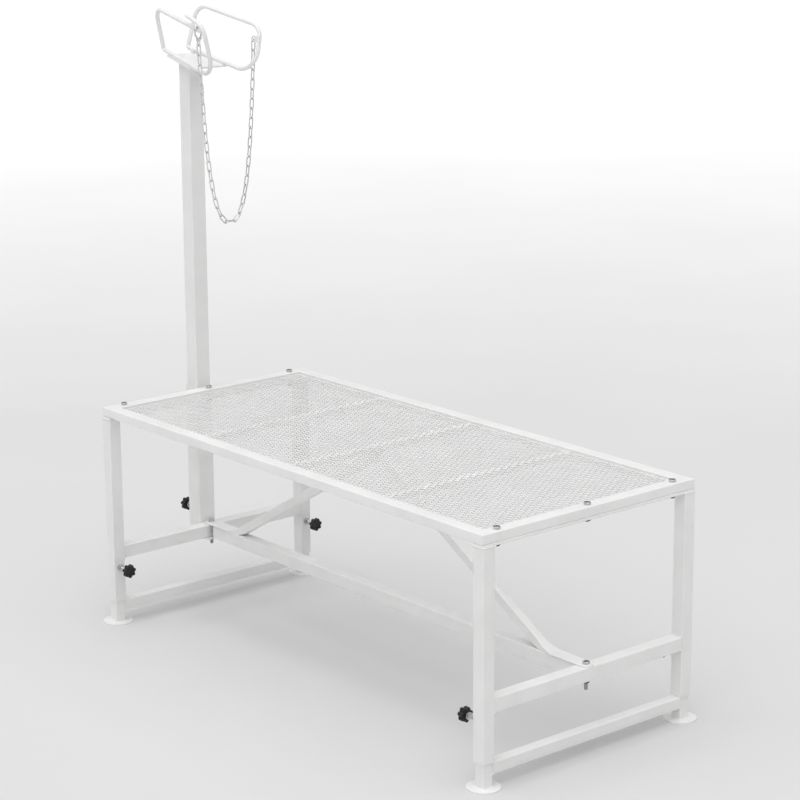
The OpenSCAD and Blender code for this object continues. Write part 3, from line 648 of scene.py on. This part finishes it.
def expanded_metal_tree(size, rows, halves):
    """Zigzag strands side by side, each meeting its neighbours at the bonds."""
    t = Tree("expanded_metal", {
        "Width": size.y, "Length": size.x, "Rows": rows, "Half waves": halves, "Strand": 2.3 * MM,
        "Thickness": 1.3 * MM, "Bond": 3.4 * MM, "Strand tilt": math.radians(16), "Finish": MATERIALS[MESH]})
    index = t.node("GeometryNodeInputIndex").outputs[0]
    step = t.math("DIVIDE", t.get("Length"), t.get("Rows"))
    half = t.math("DIVIDE", t.get("Width"), t.get("Half waves"))
    points = t.math("ADD", t.math("MULTIPLY", t.get("Half waves"), 2.0), 2.0)
    corner = t.math("FLOOR", t.math("DIVIDE", index, 2.0))
    which = t.math("SUBTRACT", t.math("MODULO", index, 2.0), 0.5)
    limit = t.math("MULTIPLY", t.get("Width"), 0.5)
    along = t.math("MULTIPLY_ADD", corner, half, t.math("MULTIPLY", which, t.get("Bond")))
    y = t.math("SUBTRACT", along, limit)
    y = t.math("MINIMUM", t.math("MAXIMUM", y, t.math("MULTIPLY", limit, -1.0)), limit)
    profile = t.node("GeometryNodeCurvePrimitiveQuadrilateral",
                     {"Width": t.get("Strand"), "Height": t.get("Thickness")}).outputs[0]
    strands = []
    for parity in (0.0, 1.0):
        swing = t.math("MODULO", t.math("ADD", corner, parity), 2.0)
        x = t.math("MULTIPLY", swing, step)
        line = t.node("GeometryNodeMeshLine", {"Count": points}).outputs[0]
        shaped = t.node("GeometryNodeSetPosition", {"Geometry": line, "Position": t.vector(x, y)}).outputs[0]
        curve = t.node("GeometryNodeMeshToCurve", {"Mesh": shaped}).outputs[0]
        flat = t.node("GeometryNodeSetCurveNormal", {"Curve": curve}, mode="Z_UP").outputs[0]
        tilted = t.node("GeometryNodeSetCurveTilt", {"Curve": flat, "Tilt": t.get("Strand tilt")}).outputs[0]
        strand = t.node("GeometryNodeCurveToMesh",
                        {"Curve": tilted, "Profile Curve": profile, "Fill Caps": True}).outputs[0]
        twice = t.math("SUBTRACT", t.math("ADD", t.get("Rows"), 1.0), parity)
        count = t.math("FLOOR", t.math("DIVIDE", twice, 2.0))
        first = t.math("SUBTRACT", t.math("MULTIPLY", step, parity), t.math("MULTIPLY", t.get("Length"), 0.5))
        row = t.node("GeometryNodeMeshLine", {
            "Count": count, "Start Location": t.vector(first),
            "Offset": t.vector(t.math("MULTIPLY", step, 2.0))}).outputs[0]
        strands.append(t.node("GeometryNodeInstanceOnPoints", {"Points": row, "Instance": strand}).outputs[0])
    joined = t.node("GeometryNodeJoinGeometry")
    for strand in strands:
        t.group.links.new(strand, joined.inputs[0])
    t.finish(joined.outputs[0], t.get("Finish"))
    return t


def weld_tree():
    """A row of overlapping ripples along a seam, as a hand-held torch leaves them."""
    t = Tree("weld_bead", {"Spacing": 1.9 * MM, "Bead": 1.9 * MM, "Unevenness": 0.22, "Seed": 7,
                           "Finish": MATERIALS[WHITE]})
    curve = t.node("GeometryNodeMeshToCurve", {"Mesh": t.start.outputs["Geometry"]}).outputs[0]
    dots = t.node("GeometryNodeCurveToPoints", {"Curve": curve, "Length": t.get("Spacing")}, mode="LENGTH")
    ripple = t.node("GeometryNodeMeshIcoSphere", {"Radius": t.get("Bead"), "Subdivisions": 2}).outputs[0]
    smooth = t.node("GeometryNodeSetShadeSmooth", {"Geometry": ripple}).outputs[0]
    low = t.math("SUBTRACT", 1.0, t.get("Unevenness"))
    size = t.node("FunctionNodeRandomValue", {2: low, 3: 1.0, "Seed": t.get("Seed")}, data_type="FLOAT")
    value = size.outputs[1]
    scale = t.vector(value, value, t.math("MULTIPLY", value, 0.7))
    beads = t.node("GeometryNodeInstanceOnPoints", {
        "Points": dots.outputs["Points"], "Instance": smooth, "Rotation": dots.outputs["Rotation"],
        "Scale": scale}).outputs[0]
    t.finish(beads, t.get("Finish"))
    return t


# ---------------------------------------------------------------- the deck

def make_deck_frame():
    """Four rolled tubes, mitred where they meet."""
    for side, sign in SIDES.items():
        node_tube("deck_rail_" + side, 0, THIN_WALL,
                  cuts=(Vector((1, sign, 0)).normalized(), Vector((1, -sign, 0)).normalized()))
    for end, sign in ENDS.items():
        node_tube("deck_rail_" + end, 1, THIN_WALL,
                  cuts=(Vector((sign, 1, 0)).normalized(), Vector((-sign, 1, 0)).normalized()))
    for place in ("head", "middle", "tail"):
        node_tube("deck_cross_bar_" + place, 1, THIN_WALL, corner=BAR_CORNER)


# Spacing of the strands along the deck, and half a diamond's length across it.
STRAND_STEP, HALF_DIAMOND = 7.15 * MM, 11.2 * MM


def make_deck_mesh():
    """The expanded-metal panel, its strands spread evenly over the CAD sheet's outline."""
    low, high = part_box("deck_mesh")
    size = high - low
    middle = (low + high) / 2
    rows = round(size.x / STRAND_STEP)
    halves = round(size.y / HALF_DIAMOND)
    piece = bpy.data.objects.new("expanded_metal_deck", bpy.data.meshes.new("seed"))
    bpy.context.scene.collection.objects.link(piece)
    expanded_metal_tree(size, rows, halves).grow(piece)
    piece.data.transform(Matrix.Translation(middle))
    stands_for(piece, "deck_mesh")


# ---------------------------------------------------------------- legs, rails and braces

def make_legs():
    for end, side in LEGS:
        node_tube(f"leg_tube_{end}_{side}", 2, LEG_WALL)
        node_tube(f"inner_tube_{end}_{side}", 2, THIN_WALL, corner=INNER_CORNER)
    for end in ENDS:
        node_tube("mid_rail_" + end, 1, THIN_WALL)
        node_tube("foot_rail_" + end, 1, THIN_WALL, corner=INNER_CORNER)
        flat_bar("top_bar_" + end)
        make_foot_plates("foot_plates_" + end)
    node_tube("stretcher", 0, THIN_WALL)
    node_tube("post_sleeve", 2, SLEEVE_WALL, corner=SLEEVE_CORNER)
    flat_bar("post_bracket")


def flat_bar(node, ease=0.6 * MM):
    """Hot-rolled flat with eased edges, filling its node's box."""
    low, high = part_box(node)
    middle, size = (low + high) / 2, high - low
    shape = Shape()
    rings = []
    for z, inset in ((low.z, ease), (low.z + ease * 0.3, ease * 0.3), (low.z + ease, 0),
                     (high.z - ease, 0), (high.z - ease * 0.3, ease * 0.3), (high.z, ease)):
        outline = rounded_rect(size.x - 2 * inset, size.y - 2 * inset, 2 * MM - inset)
        rings.append([Vector((middle.x + x, middle.y + y, z)) for x, y in outline])
    shape.loft(rings)
    return stands_for(shape.piece(node + "_flat", WHITE), node)


def make_foot_plates(node):
    """Punched discs with a rounded upper edge."""
    shape = Shape()
    ease = 0.8 * MM
    for low, high in islands(node):
        centre, r = (low + high) / 2, (high.x - low.x) / 2
        rings = []
        for z, q in ((low.z, r - 0.2 * MM), (low.z + 0.2 * MM, r), (high.z - ease, r),
                     (high.z - ease * 0.3, r - ease * 0.3), (high.z, r - ease)):
            rings.append([Vector((centre.x + x, centre.y + y, z)) for x, y in circle(q, 72)])
        shape.loft(rings)
    return stands_for(shape.piece(node + "_pair", WHITE), node)


BRACE_W = 20 * MM
TAB_W, TAB_T = 34 * MM, 3 * MM
SQUEEZE = 30 * MM
SQUEEZE_STEPS, TAB_STEPS = 10, 6
TAB_TIP_W = 6 * MM
BRACE_FOOT = 519 * MM
BRACE_TOP_Z = 491 * MM


def make_brace(end):
    """Square tube whose lower end is pressed flat, rounded and bolted down."""
    sign = ENDS[end]
    low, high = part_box("brace_" + end)
    deck_low, deck_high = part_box("deck_rail_front")
    centre_x = (deck_low.x + deck_high.x) / 2
    tab_z = low.z + TAB_T / 2
    foot = Vector((centre_x + sign * BRACE_FOOT, 0, tab_z))
    top = Vector((centre_x, 0, BRACE_TOP_Z))
    rise = (top - foot).normalized()
    flat = Vector((-sign, 0, 0))
    tab_end = (high.x if sign > 0 else low.x)
    shape = Shape()
    across = Y * -sign
    rings = []
    # The rounded end of the tab, then its straight part.
    for i in range(TAB_STEPS + 1):
        a = math.pi / 2 * i / TAB_STEPS
        w = max(TAB_W * math.sin(a), TAB_TIP_W)
        x = tab_end - sign * TAB_W / 2 * (1 - math.cos(a))
        rings.append((Vector((x, 0, tab_z)), Z, w, TAB_T))
    squeeze_from = foot - flat * SQUEEZE
    rings.append((squeeze_from, Z, TAB_W, TAB_T))
    # The squeeze: wide and thin turns into square as the tube starts to rise.
    after = foot + rise * (SQUEEZE * 0.87)
    for i in range(1, SQUEEZE_STEPS + 1):
        s = i / SQUEEZE_STEPS
        ease = s ** 0.8
        place = squeeze_from * (1 - s) ** 2 + foot * (2 * s * (1 - s)) + after * s ** 2
        tilt = flat.lerp(rise, s).normalized()
        up = tilt.cross(across).normalized()
        w = TAB_W + (BRACE_W - TAB_W) * ease
        h = TAB_T + (BRACE_W - TAB_T) * ease
        rings.append((place + Z * (0.3 * MM * math.sin(math.pi * s)), up, w, h))
    skin = []
    for place, up, w, h in rings:
        r = min(h * 0.45, TUBE_CORNER)
        skin.append(section(rounded_rect(w, h, r), place, across, up))
    last = section(rounded_rect(BRACE_W, BRACE_W, TUBE_CORNER), top, across, rise.cross(across))
    mitred = onto_plane(last, rise, top, X)
    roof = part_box("deck_cross_bar_middle")[0].z
    skin.append([p if p.z < roof else p - rise * ((p.z - roof) / rise.z) for p in mitred])
    shape.loft(skin)
    return stands_for(shape.piece(f"brace_{end}_tube", WHITE), "brace_" + end)


# ---------------------------------------------------------------- post and head piece

HEAD_TILT = math.radians(12)
ROD_R = 5 * MM
LOOP_LEAN, LOOP_SPLAY = math.radians(15.5), math.radians(5.7)
LOOP_L, LOOP_H, LOOP_SET_BACK = 235 * MM, 107 * MM, 29 * MM
LOOP_HALF_GAP = 34 * MM
PRONG_L, PRONG_RISE = 73 * MM, math.radians(5)
BEND_TIGHT, BEND_REAR, BEND_TOP, BEND_BOTTOM, BEND_PRONG = 8 * MM, 30 * MM, 38 * MM, 45 * MM, 30 * MM
REAR_TOP = (-11 * MM, LOOP_H - 4 * MM)
HEAD_BACK, HEAD_H = 56.5 * MM, 796 * MM
POST_TOP_AT = 57 * MM
POST_WALL, POST_CORNER = 2 * MM, 3 * MM
PLATE_START, PLATE_L, PLATE_T = 24 * MM, 108 * MM, 5 * MM
PLATE_TOP = -4.6 * MM


def head_frame():
    """Origin midway between the loops' rear bottom corners, X along the rods."""
    low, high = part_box("post_sleeve")
    deck_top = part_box("deck_rail_front")[1].z
    origin = Vector(((low.x + high.x) / 2 - HEAD_BACK, 0, deck_top + HEAD_H))
    return Matrix.Translation(origin) @ Matrix.Rotation(HEAD_TILT, 4, "Y")


def loop_frame(side):
    place = (Matrix.Translation((0, LOOP_HALF_GAP, 0)) @ Matrix.Rotation(LOOP_SPLAY, 4, "Z")
             @ Matrix.Rotation(-LOOP_LEAN, 4, "X") @ Matrix.Rotation(math.pi / 2, 4, "X"))
    flip = Matrix.Diagonal((1, side, 1, 1))
    return head_frame() @ flip @ place


def rounded_path(corners, radii, closed=False, step=math.radians(5)):
    """A path through flat corner points, with a round bend at each."""
    count = len(corners)
    path = []
    for i, (b, r) in enumerate(zip(corners, radii)):
        b = Vector((*b, 0))
        if not closed and i in (0, count - 1):
            path.append(b)
            continue
        a = (Vector((*corners[i - 1], 0)) - b).normalized()
        c = (Vector((*corners[(i + 1) % count], 0)) - b).normalized()
        half = (math.pi - a.angle(c)) / 2
        centre = b + (a + c).normalized() * (r / math.cos(half))
        first = b + a * (r * math.tan(half)) - centre
        n = max(4, round(2 * half / step))
        spin = 1 if a.cross(first).z > 0 else -1
        for k in range(n + 1):
            path.append(centre + Matrix.Rotation(spin * 2 * half * k / n, 3, "Z") @ first)
    return path


def make_right_loop():
    corners = [(0, 0), REAR_TOP, (LOOP_L - LOOP_SET_BACK, LOOP_H), (LOOP_L, 0)]
    path = rounded_path(corners, [BEND_TIGHT, BEND_REAR, BEND_TOP, BEND_BOTTOM], closed=True)
    shape = Shape()
    rod_skin(shape, [loop_frame(1) @ p for p in path], ROD_R, closed=True)
    stands_for(shape.piece("right_neck_loop", WHITE), "neck_loop_right")


def make_left_loop():
    """One rod: the prong, the front, the bottom, the rear and the top."""
    corner = Vector((LOOP_L - 20 * MM, LOOP_H + 15 * MM))
    tip = corner + PRONG_L * Vector((-math.cos(PRONG_RISE), math.sin(PRONG_RISE)))
    corners = [tuple(tip), tuple(corner), (LOOP_L, 0), (0, 0), REAR_TOP, (LOOP_L - 25 * MM, LOOP_H)]
    path = rounded_path(corners, [0, BEND_PRONG, BEND_BOTTOM, BEND_TIGHT, BEND_REAR, 0])
    shape = Shape()
    rod_skin(shape, [loop_frame(-1) @ p for p in path], ROD_R)
    stands_for(shape.piece("left_neck_loop", WHITE), "neck_loop_left")


def make_post():
    """The post's top is cut to the slope of the plate that is welded on it."""
    low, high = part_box("head_post")
    middle = (low + high) / 2
    slope = head_frame().to_3x3() @ Z
    plate_under = head_frame() @ Vector((POST_TOP_AT, 0, PLATE_TOP - PLATE_T))
    start = Vector((middle.x, 0, low.z))
    top = start + Z * ((plate_under - start).dot(slope) / slope.z)
    shape = Shape()
    square_tube(shape, start, top, high.x - low.x, high.y - low.y, POST_WALL, Y, (None, slope), POST_CORNER)
    stands_for(shape.piece("head_post_tube", WHITE), "head_post")


def make_neck_plate():
    """Flat plate under both loops' bottom rods, wider towards the front as they splay."""
    place = head_frame()
    shape = Shape()
    ends = (PLATE_START, PLATE_START + PLATE_L)
    half = [LOOP_HALF_GAP + x * math.tan(LOOP_SPLAY) + ROD_R for x in ends]
    ease = 0.7 * MM
    rings = []
    for z, inset in ((PLATE_TOP - PLATE_T, ease), (PLATE_TOP - PLATE_T + ease, 0),
                     (PLATE_TOP - ease, 0), (PLATE_TOP, ease)):
        corners = [(ends[0] + inset, -half[0] + inset), (ends[1] - inset, -half[1] + inset),
                   (ends[1] - inset, half[1] - inset), (ends[0] + inset, half[0] - inset)]
        flat = rounded_path(corners, [1.5 * MM] * 4, closed=True, step=math.radians(22))
        rings.append([place @ Vector((p.x, p.y, z)) for p in flat])
    shape.loft(rings)
    stands_for(shape.piece("neck_plate_steel", WHITE), "neck_plate")


def make_peg():
    """Short peg with a domed end beside the right rod."""
    r, h = 4 * MM, 9 * MM
    centre = Vector((PLATE_START + 2 * r, LOOP_HALF_GAP - ROD_R - r, PLATE_TOP))
    place = head_frame() @ Matrix.Translation(centre)
    shape = Shape()
    dome = ((0, r), (h - 1.6 * MM, r), (h - 0.8 * MM, r * 0.92), (h - 0.2 * MM, r * 0.7), (h, r * 0.4))
    rings = [[place @ Vector((x, y, z)) for x, y in circle(q, 24)] for z, q in dome]
    shape.loft(rings)
    stands_for(shape.piece("plate_peg_domed", WHITE), "plate_peg")


# ---------------------------------------------------------------- welds

def seam(points, closed=True):
    """A seam's points and the edges that join them."""
    count = len(points)
    edges = [(i, (i + 1) % count) for i in range(count if closed else count - 1)]
    return points, edges


def box_seam(low, high, axis, at, out=0.2 * MM):
    """Around a tube's section where it butts on another piece."""
    a, b = [i for i in range(3) if i != axis]
    points = []
    for i, j in ((low[a] - out, low[b] - out), (high[a] + out, low[b] - out),
                 (high[a] + out, high[b] + out), (low[a] - out, high[b] + out)):
        p = Vector()
        p[a], p[b], p[axis] = i, j, at
        points.append(p)
    return seam(points)


def make_welds(name, body, seams):
    verts, edges = [], []
    for points, links in seams:
        base = len(verts)
        verts += [tuple(p) for p in points]
        edges += [(base + i, base + j) for i, j in links]
    mesh = bpy.data.meshes.new(name)
    mesh.from_pydata(verts, edges, [])
    piece = bpy.data.objects.new(name, mesh)
    bpy.context.scene.collection.objects.link(piece)
    weld_tree().grow(piece)
    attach(piece, body)


# A rod's weld seams run this far off its middle, and stop short of the plate's ends.
ROD_SEAM, SEAM_INSET = 3.4 * MM, 3 * MM


def make_all_welds():
    """Beads on the stand, on both leg frames and on the head piece, each on its own body."""
    fixed = []
    for end, side in LEGS:
        low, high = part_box(f"leg_tube_{end}_{side}")
        fixed.append(box_seam(low, high, 2, high.z))
    for end in ENDS:
        low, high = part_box("mid_rail_" + end)
        fixed += [box_seam(low, high, 1, low.y), box_seam(low, high, 1, high.y)]
        seams = []
        low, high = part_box("foot_rail_" + end)
        seams += [box_seam(low, high, 1, low.y), box_seam(low, high, 1, high.y)]
        for side in SIDES:
            tube_low, tube_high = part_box(f"inner_tube_{end}_{side}")
            seams.append(box_seam(tube_low, tube_high, 2, tube_low.z))
        make_welds(f"{end}_leg_frame_welds", f"{end}_leg_frame", seams)
    sleeve_low, sleeve_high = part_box("post_sleeve")
    rail_low, rail_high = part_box("mid_rail_head")
    for y in (sleeve_low.y, sleeve_high.y):
        fixed.append(seam([Vector((sleeve_high.x, y, rail_low.z)), Vector((sleeve_high.x, y, rail_high.z))],
                          closed=False))
    make_welds("stand_welds", "stand", fixed)
    head = []
    place = head_frame()
    for side in (-1, 1):
        for off in (-ROD_SEAM, ROD_SEAM):
            line = []
            for x in (PLATE_START + SEAM_INSET, PLATE_START + PLATE_L - SEAM_INSET):
                y = side * (LOOP_HALF_GAP + x * math.tan(LOOP_SPLAY)) + off
                line.append(place @ Vector((x, y, PLATE_TOP + 0.2 * MM)))
            head.append(seam(line, closed=False))
    low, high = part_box("head_post")
    slope = place.to_3x3() @ Z
    under = place @ Vector((POST_TOP_AT, 0, PLATE_TOP - PLATE_T))
    outline = ((low.x, low.y), (high.x, low.y), (high.x, high.y), (low.x, high.y))
    ring = [Vector((x, y, 0)) for x, y in outline]
    head.append(seam([p + Z * ((under - p).dot(slope) / slope.z) for p in ring]))
    make_welds("head_piece_welds", "head_piece", head)


# ---------------------------------------------------------------- pieces kept from the CAD

KEPT = {"chain_eye": WHITE, "neck_chain": CHAIN, "snap_hook": CHAIN, "snap_gate": CHAIN}


def paint_kept():
    """Links, hook, gate and eye plate keep their true shapes and get their finish."""
    for node, slot in KEPT.items():
        mesh = frame["nodes"][node].data
        mesh.materials.clear()
        mesh.materials.append(MATERIALS[slot])


# ---------------------------------------------------------------- studio

def studio_surface():
    """Pale, faintly mottled studio floor, darker near the stand and paling with distance: painted shade
    standing in for the light falloff of a lit studio sweep.
    """
    s = Shader("studio_floor", Roughness=0.8, Specular_IOR_Level=0.2)
    away = s.node("ShaderNodeVectorMath", operation="LENGTH")
    s.link(s.place, away.inputs[0])
    cloud = s.spread(s.noise(0.8, 3), -0.1, 0.1)
    # Painted shade: the floor's tone darkens towards the stand and pales far off, in place of light falling
    # off across a studio sweep.
    painted_falloff = s.node("ShaderNodeMath", operation="ADD")
    s.link(s.spread(away.outputs["Value"], 0, 1, 2.2, 9.0), painted_falloff.inputs[0])
    s.link(cloud, painted_falloff.inputs[1])
    return s.feed(Base_Color=s.mixed(painted_falloff.outputs[0], (0.66, 0.66, 0.66), (0.93, 0.93, 0.93)))


FLOOR_HALF = 60
SKY, TOP_LIGHT, SIDE_LIGHT = 0.24, 2.9, 0.15


def make_studio():
    half = FLOOR_HALF
    mesh = bpy.data.meshes.new("studio_floor")
    corners = [(-half, -half, 0), (half, -half, 0), (half, half, 0), (-half, half, 0)]
    mesh.from_pydata(corners, [], [(0, 1, 2, 3)])
    mesh.materials.append(studio_surface())
    floor = bpy.data.objects.new("studio_floor", mesh)
    bpy.context.scene.collection.objects.link(floor)
    world = bpy.data.worlds.new("soft_room")
    world.use_nodes = True
    sky = world.node_tree.nodes["Background"]
    sky.inputs["Color"].default_value = (1, 1, 1, 1)
    sky.inputs["Strength"].default_value = SKY
    bpy.context.scene.world = world
    for name, aim, spread, power in (("overhead", (-0.1, 0.2, -1), 100, TOP_LIGHT),
                                     ("front", (-0.9, 1.0, -0.7), 60, SIDE_LIGHT)):
        data = bpy.data.lights.new(name, "SUN")
        data.angle, data.energy = math.radians(spread), power
        light = bpy.data.objects.new(name, data)
        bpy.context.scene.collection.objects.link(light)
        light.rotation_euler = Vector(aim).to_track_quat("-Z", "Y").to_euler()
    bpy.context.scene.view_settings.view_transform = "Standard"


# ---------------------------------------------------------------- build

add_camera()
MATERIALS = make_materials()
make_deck_frame()
make_deck_mesh()
make_legs()
for end_name in ENDS:
    make_brace(end_name)
make_post()
make_right_loop()
make_left_loop()
make_neck_plate()
make_peg()
make_all_welds()
make_bolts("deck_bolts")
make_bolts("stretcher_bolts")
make_nuts("deck_nuts")
make_nuts("stretcher_nuts")
make_weld_nuts()
for clamp in CLAMPS:
    make_washer(clamp)
    make_stud(clamp)
    make_knob(clamp)
paint_kept()
make_studio()
